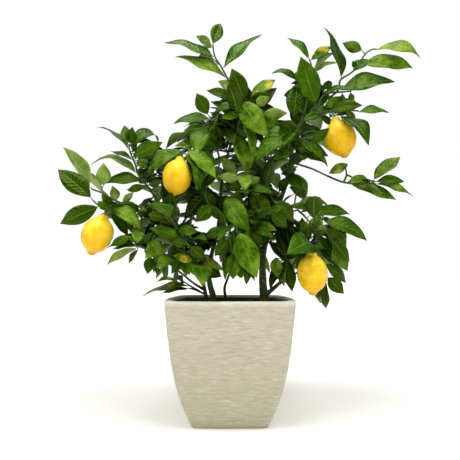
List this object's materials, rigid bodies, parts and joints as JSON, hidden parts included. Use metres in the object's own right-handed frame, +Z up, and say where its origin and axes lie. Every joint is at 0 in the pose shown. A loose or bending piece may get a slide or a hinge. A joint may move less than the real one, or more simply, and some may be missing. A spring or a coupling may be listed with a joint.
{
  "type": "potted lemon tree",
  "caption": "Small lemon tree with woody stems, glossy pointed leaves and hanging ripe lemons, growing in soil in a square, tapering stone-like pot.",
  "frame": {"origin": "middle of the pot's flat underside", "axes": "+Z up, -Y towards the side of the plant that the picture shows, +X to the right in that view"},
  "size_m": [0.6741, 0.3911, 0.7702],
  "materials": {
    "pot": "matte, streaked stone look",
    "soil": "rough, crumbly",
    "wood": "rough green-brown bark",
    "leaf": "glossy above, paler and duller below",
    "lemon": "waxy, pitted peel"
  },
  "bodies": {
    "root": {"lemon_far_left": "lemon", "lemon_left": "lemon", "lemon_low_right": "lemon", "lemon_right": "lemon", "pot": "pot", "shoot_back_high": "leaf", "shoot_back_left": "leaf", "shoot_back_low_left": "leaf", "shoot_back_low_middle": "leaf", "shoot_back_low_right": "leaf", "shoot_back_middle": "leaf", "shoot_back_right": "leaf", "shoot_back_top_right": "leaf", "shoot_crown_left": "leaf", "shoot_crown_middle": "leaf", "shoot_crown_right": "leaf", "shoot_far_left": "leaf", "shoot_front": "leaf", "shoot_heart": "leaf", "shoot_heart_right": "leaf", "shoot_high_left": "leaf", "shoot_high_right": "leaf", "shoot_inner_left": "leaf", "shoot_inner_right": "leaf", "shoot_left_middle": "leaf", "shoot_lemon_left": "leaf", "shoot_lemon_right": "leaf", "shoot_low_left": "leaf", "shoot_low_middle": "leaf", "shoot_middle": "leaf", "shoot_right_bough": "leaf", "shoot_right_gap": "leaf", "shoot_right_sprig": "leaf", "shoot_skirt_left": "leaf", "shoot_upper_left": "leaf", "soil": "soil", "stem_left": "wood", "stem_main": "wood", "stem_tall": "wood", "stem_thin": "wood"}
  },
  "joints": []
}
